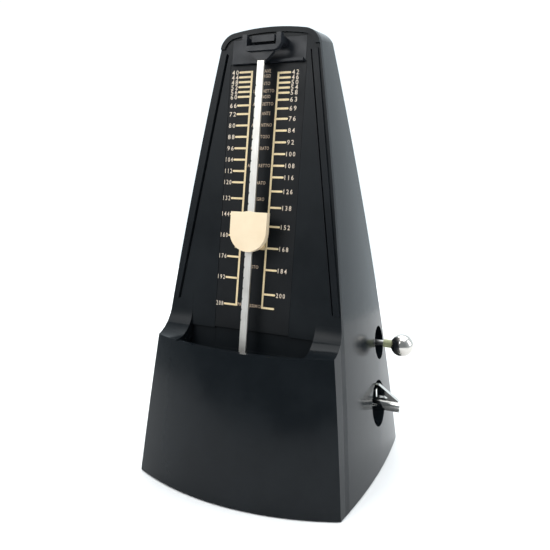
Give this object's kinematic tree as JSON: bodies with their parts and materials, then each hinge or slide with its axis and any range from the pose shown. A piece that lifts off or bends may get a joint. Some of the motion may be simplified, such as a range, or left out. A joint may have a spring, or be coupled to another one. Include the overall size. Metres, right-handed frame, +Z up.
{
  "type": "pyramid metronome",
  "caption": "Wind-up pyramid metronome in black plastic, front cover off, with swinging rod, sliding bob, winding key, beat selector and bell movement.",
  "frame": {"origin": "resting plane, centre of the box around the whole object", "axes": "+Z up, -Y to the front where the scale is, +X to the side with the key"},
  "size_m": [0.1249, 0.106, 0.22],
  "materials": {
    "case_black": "glossy",
    "scale_black": "satin",
    "black_plastic": "satin",
    "rubber": "matte",
    "brass": "satin",
    "steel": "satin",
    "spring_steel": "satin",
    "chrome": "polished",
    "nickel": "polished",
    "collar_plastic": "satin",
    "rod_steel": "satin",
    "bob_gold": "satin",
    "bob_back": "satin",
    "white_nylon": "satin"
  },
  "bodies": {
    "case": {"case_shell": "case_black", "base_plate": "black_plastic", "base_screws": "steel", "rubber_feet": "rubber", "scale_plate": "scale_black", "rod_catch": "black_plastic", "plate_left": "brass", "plate_right": "brass", "pillars": "brass", "pillar_nuts": "steel", "mount_angles": "steel", "mount_screws": "steel", "angle_rivets": "brass", "front_bridge": "brass", "rear_cock": "brass", "cock_screws": "steel", "click_screw": "steel", "click_spring": "spring_steel", "detent_spring": "spring_steel", "detent_screw": "steel", "bell": "brass", "bell_stud": "steel", "bell_nut": "steel"},
    "barrel": {"barrel_drum": "brass", "great_wheel": "brass", "mainspring": "spring_steel"},
    "winder": {"winding_arbor": "steel", "arbor_spacers": "steel", "winding_key": "chrome", "key_pin": "steel", "ratchet_wheel": "steel"},
    "click": {"click": "steel"},
    "second": {"second_arbor": "steel", "second_wheel": "brass"},
    "escape": {"escape_arbor": "steel", "escape_wheels": "brass"},
    "cams": {"cam_arbor": "steel", "cam_wheel": "brass", "cam_drum": "white_nylon"},
    "pendulum": {"pendulum_arbor": "steel", "pendulum_hub": "brass", "pallet_arm": "steel", "pendulum_rod": "rod_steel", "rod_rivets": "steel", "counterweight": "brass"},
    "bob": {"bob_shield": "bob_gold", "bob_clip": "bob_back", "bob_spring": "spring_steel"},
    "selector": {"selector_shaft": "steel", "selector_knob": "nickel", "selector_collar": "collar_plastic", "hammer_spring": "spring_steel"},
    "hammer": {"hammer_arm": "steel", "hammer_head": "brass"}
  },
  "joints": [
    {"name": "pendulum_swing", "type": "hinge", "parent": "case", "child": "pendulum", "pos_m": [-0.0049, -0.0344, 0.046], "axis": [0, 0.9879, -0.1553], "range_deg": [-22, 22]},
    {"name": "bob_slide", "type": "slide", "parent": "pendulum", "child": "bob", "axis": [0, 0.1553, 0.9879], "range_m": [-0.045, 0.0665]},
    {"name": "key_turn", "type": "hinge", "parent": "case", "child": "winder", "pos_m": [-0.0049, 0.0187, 0.034], "axis": [1, 0, 0], "continuous": true},
    {"name": "click_lift", "type": "hinge", "parent": "case", "child": "click", "pos_m": [0.0131, 0.0122, 0.047], "axis": [1, 0, 0], "range_deg": [-14, 0], "stiffness_Nm_per_rad": 0.002, "springref_deg": 5.73},
    {"name": "train_run", "type": "hinge", "parent": "case", "child": "barrel", "pos_m": [-0.0049, 0.0187, 0.034], "axis": [1, 0, 0], "continuous": true},
    {"name": "second_turn", "type": "hinge", "parent": "case", "child": "second", "pos_m": [-0.0049, -0.0021, 0.03108], "axis": [1, 0, 0], "continuous": true},
    {"name": "escape_turn", "type": "hinge", "parent": "case", "child": "escape", "pos_m": [-0.0049, -0.01408, 0.02205], "axis": [1, 0, 0], "continuous": true},
    {"name": "cam_turn", "type": "hinge", "parent": "case", "child": "cams", "pos_m": [-0.0049, 0.01394, 0.05966], "axis": [1, 0, 0], "continuous": true},
    {"name": "selector_slide", "type": "slide", "parent": "case", "child": "selector", "axis": [1, 0, 0], "range_m": [-0.006, 0.004]},
    {"name": "hammer_swing", "type": "hinge", "parent": "selector", "child": "hammer", "pos_m": [-0.0289, 0.0304, 0.063], "axis": [1, 0, 0], "range_deg": [0, 14], "stiffness_Nm_per_rad": 0.004, "springref_deg": -20.05}
  ],
  "couplings": [
    {"joint": "second_turn", "follows": "train_run", "ratio": -6},
    {"joint": "escape_turn", "follows": "train_run", "ratio": 30},
    {"joint": "cam_turn", "follows": "train_run", "ratio": -2.2222}
  ]
}
